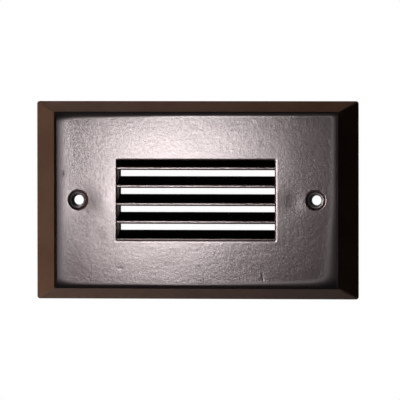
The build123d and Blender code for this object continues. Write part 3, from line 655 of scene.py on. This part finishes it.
def castField(material, f, hole):
    # a tensor grid over the field, without the louvred opening and a square round each screw hole;
    # rings go from the bore up the countersink and out to a circle, then to the square's points
    p, slack, step, fine = hole["patch"], hole["slack"], f["step"], f["borderStep"]
    endX, endZ = f["crestX"] - f["inset"], f["crestZ"] - f["inset"]
    xs = spread([
        (-endX, fine), (-endX + f["border"], step), (-hole["x"] - p, step), (-hole["x"] + p, step),
        (f["left"], step), (f["right"], step), (hole["x"] - p, step), (hole["x"] + p, step),
        (endX - f["border"], fine), (endX, fine),
    ])
    zs = spread([
        (-endZ, fine), (-endZ + f["border"], step), (f["bottom"], step), (-p, step), (p, step),
        (f["top"], step), (endZ - f["border"], fine), (endZ, fine),
    ])
    gridX, gridZ = np.meshgrid(xs, zs, indexing="ij")
    midX, midZ = np.meshgrid((xs[1:] + xs[:-1]) / 2, (zs[1:] + zs[:-1]) / 2, indexing="ij")
    opening = (midX > f["left"]) & (midX < f["right"]) & (midZ > f["bottom"]) & (midZ < f["top"])
    square = (np.abs(np.abs(midX) - hole["x"]) < p) & (np.abs(midZ) < p)
    height, paintedShadeShare = fieldHeight(gridX.ravel(), gridZ.ravel(), f, hole)
    points = [np.stack([gridX.ravel(), -f["plane"] - height, gridZ.ravel()], 1)]
    paintedShadeShares = [paintedShadeShare]
    faces = gridFaces(len(xs), len(zs), 0, ~(opening | square)).tolist()
    radius, depth, paintedShade = np.array(hole["profile"]).T
    rings = np.arange(hole["rim"], hole["ringEnd"], hole["ringStep"])
    for side in (-1, 1):
        cx = side * hole["x"]
        across = xs[(xs > cx - p - slack) & (xs < cx + p + slack)] - cx
        along = zs[(zs > -p - slack) & (zs < p + slack)]
        corner = np.concatenate([
            np.stack([across[:-1], np.full(len(across) - 1, -p)], 1),
            np.stack([np.full(len(along) - 1, across[-1]), along[:-1]], 1),
            np.stack([across[:0:-1], np.full(len(across) - 1, p)], 1),
            np.stack([np.full(len(along) - 1, across[0]), along[:0:-1]], 1),
        ])
        way = corner / np.linalg.norm(corner, axis=1)[:, None]
        outer = np.concatenate([way[None] * rings[:, None, None], corner[None]])
        height, paintedShadeShare = fieldHeight(outer[..., 0] + cx, outer[..., 1], f, hole)
        inner = way[None] * radius[:, None, None]
        x = np.concatenate([inner[..., 0], outer[..., 0]]) + cx
        z = np.concatenate([inner[..., 1], outer[..., 1]])
        high = np.concatenate([np.repeat(-depth[:, None], len(way), 1), height])
        # painted shade down each countersink, made less dark on its right side as painted light
        lit = hole["lit"] * (0.5 + 0.5 * way[None, :, 0]) ** hole["litTurn"]
        dark = np.concatenate([paintedShade[:, None] * (1 - lit), paintedShadeShare])
        stack = np.stack([x, -f["plane"] - high, z, dark], -1)
        stack = np.concatenate([stack, stack[:, :1]], 1)
        start = sum(len(part) for part in points)
        faces += gridFaces(*stack.shape[:2], start).tolist()
        points.append(stack[..., :3].reshape(-1, 3))
        paintedShadeShares.append(stack[..., 3].ravel())
    piece = meshFrom(
        "cast_field", np.concatenate(points), faces, material, ("paintedShadeShare", np.concatenate(paintedShadeShares))
    )
    weld(piece, closed=False)
    wall = piece.modifiers.new("wall", "SOLIDIFY")
    wall.thickness = f["thickness"] * mm
    wall.offset = -1


castField(made["castBronze"], field, screwHole)
print("field cast")


def carryRings(name, bars, material):
    # each bar is an array (stations, points round, 3): quads join its rings, and a face shuts
    # each end
    faces, start = [], 0
    for bar in bars:
        index = start + np.arange(bar.shape[0] * bar.shape[1]).reshape(bar.shape[:2])
        after = np.roll(index, -1, axis=1)
        sides = np.stack([index[:-1], index[1:], after[1:], after[:-1]], -1)
        faces += sides.reshape(-1, 4).tolist()
        faces += [index[0].tolist(), index[-1].tolist()]
        start += index.size
    piece = meshFrom(name, np.concatenate([bar.reshape(-1, 3) for bar in bars]), faces, material)
    weld(piece, closed=True)


louvre = {
    # millimetres; the blades lean up and back from the field's plane to the hood's back
    "left": -28.2, "top": 14.2,  # the casting's opening, which reaches past the coat's edges
    # their number, the first one's drop from the top, their spacing, the height of a front edge,
    # and how far they rise over their depth
    "blades": 5, "firstDrop": 2.7, "pitch": 6.24, "edge": 1.0, "rise": 2.8, "depth": 11.0,
    # the edges: how far they stand out, reach into the blade and grow over it, and how far their
    # ends go into the walls
    "bulge": 0.13, "root": 0.25, "edgeGrow": 0.012, "overlap": 0.3,
    # powers under 1 that flatten the ring's front and its other sides, the share of the bulge that
    # goes at its lower side, and the points along and round it
    "frontPower": 0.35, "sidePower": 0.8, "tuck": 0.75, "columns": 220, "ring": 20,
    # cell sizes along x and z, height and seed of each layer of noise on the edges
    "waves": [(3.1, 4.0, 0.018, 21), (0.9, 0.6, 0.008, 22)],
    # the painted sheets: how thick, where the blades' sheet of painted shade starts behind the
    # plane, and the points along it
    "paintedSheet": 0.06, "shadeSheetFront": 0.08, "slopeSteps": 12, "sheetColumns": 60,
    # their noise: height, cell sizes, seeds, and a shift that gives a blade's upper side its own
    "sheetWave": 0.02, "sheetCells": (2.2, 1.4), "bladeSeed": 31, "wallSeed": 41, "upperShift": 40,
    # on the end walls a sheet of painted light runs from the front to the turn, and a sheet of
    # nearly black painted shade behind it
    "paintedLightSheet": 0.05, "wallFront": -3.3, "wallTurn": 3.6, "deepShadeSheet": 0.06, "deepBack": 8.0,
}


def bladeTops(s):
    # the height of each blade's upper front edge, from the top one down
    return [s["top"] - s["firstDrop"] - s["pitch"] * row for row in range(s["blades"])]


def louvreEdges(material, s, f):
    # a flattened ring, |sin t|^sidePower up or down and |cos t|^frontPower forward, is carried
    # along x; its front is flat over the upper part, turns under along the lower part and is waved
    # a little by lattice noise; the lowest blade's edge is the opening's own sill
    x = np.linspace(f["left"] - s["overlap"], f["right"] + s["overlap"], s["columns"])
    turn = np.linspace(0, 2 * math.pi, s["ring"], endpoint=False)
    up, ahead, half = np.sin(turn), np.cos(turn), s["edge"] / 2
    rise = np.sign(up) * np.abs(up) ** s["sidePower"] * (half + s["edgeGrow"])
    front = np.where(
        ahead > 0, np.abs(ahead) ** s["frontPower"], -np.abs(ahead) ** s["sidePower"]
    )
    bars = []
    for top in bladeTops(s)[:-1]:
        z = top - half + rise
        low = np.clip((top - half - z) / half, 0, 1) ** 2
        out = np.where(front > 0, front * s["bulge"] * (1 - s["tuck"] * low), front * s["root"])
        gridX, gridZ = np.meshgrid(x, z, indexing="ij")
        wave = sum(size * latticeNoise(gridX, gridZ, a, b, seed) for a, b, size, seed in s["waves"])
        y = -(f["plane"] + out + (front > 0) * wave)
        bars.append(np.stack([gridX, y, gridZ], -1))
    carryRings("louvre_edges", bars, material)


def outAndBack(steps):
    # the way out along one side of a sheet and back along the other, from 0 to 1 to 0, with 1 for
    # the first side and 0 for the second
    share = np.linspace(0, 1, steps)
    return np.concatenate([share, share[::-1]]), np.repeat([1, 0], steps)


def bladeShadeSheets(s, f):
    # a sheet of painted shade on each blade: the blade's outline, a slanted parallelogram grown by
    # the sheet's thickness, is carried along x
    x = np.linspace(f["left"] - s["overlap"], f["right"] + s["overlap"], s["sheetColumns"])
    way, upper = outAndBack(s["slopeSteps"])
    y = -f["plane"] + s["shadeSheetFront"] + (s["depth"] - s["shadeSheetFront"]) * way
    lift = s["rise"] / s["depth"] * (y + f["plane"])
    gridX, gridY = np.meshgrid(x, y, indexing="ij")
    shifted = gridY + s["upperShift"] * upper
    bars = []
    for row, top in enumerate(bladeTops(s)):
        noise = latticeNoise(gridX, shifted, *s["sheetCells"], s["bladeSeed"] + row)
        paintedSheet = s["paintedSheet"] + s["sheetWave"] * np.abs(noise)
        z = top + lift + np.where(upper, paintedSheet, -s["edge"] - paintedSheet)
        bars.append(np.stack([gridX, gridY, z], -1))
    return bars


def wallPaintedSheets(s, f, front, back, paintedSheet):
    # a thin slab on each end wall, which carries the painted light at the wall's front in one call
    # and the painted shade deep in it in the other; its outline in x and y is carried along z
    z = np.linspace(f["bottom"], s["top"], s["sheetColumns"])
    way, inner = outAndBack(s["slopeSteps"])
    gridZ, gridY = np.meshgrid(z, front + (back - front) * way, indexing="ij")
    wave = s["sheetWave"] * np.abs(latticeNoise(gridZ, gridY, *s["sheetCells"], s["wallSeed"]))
    bars = []
    for wall, side in ((s["left"], 1), (f["right"], -1)):
        x = wall + side * np.where(inner, paintedSheet + wave, -paintedSheet)
        bars.append(np.stack([x, gridY, gridZ], -1))
    return bars


louvreEdges(made["castBronze"], louvre, field)
# painted shade: nearly black sheets over every blade and deep on the end walls
deepShadeSheets = wallPaintedSheets(louvre, field, louvre["wallTurn"], louvre["deepBack"], louvre["deepShadeSheet"])
carryRings("louvre_painted_shade", bladeShadeSheets(louvre, field) + deepShadeSheets, made["paintedShadeLining"])
# painted light: a lighter sheet of the enamel on the front of each end wall
frontLightSheets = wallPaintedSheets(louvre, field, louvre["wallFront"], louvre["wallTurn"], louvre["paintedLightSheet"])
carryRings("louvre_painted_light", frontLightSheets, made["paintedLightBronze"])
print("louvre finished")
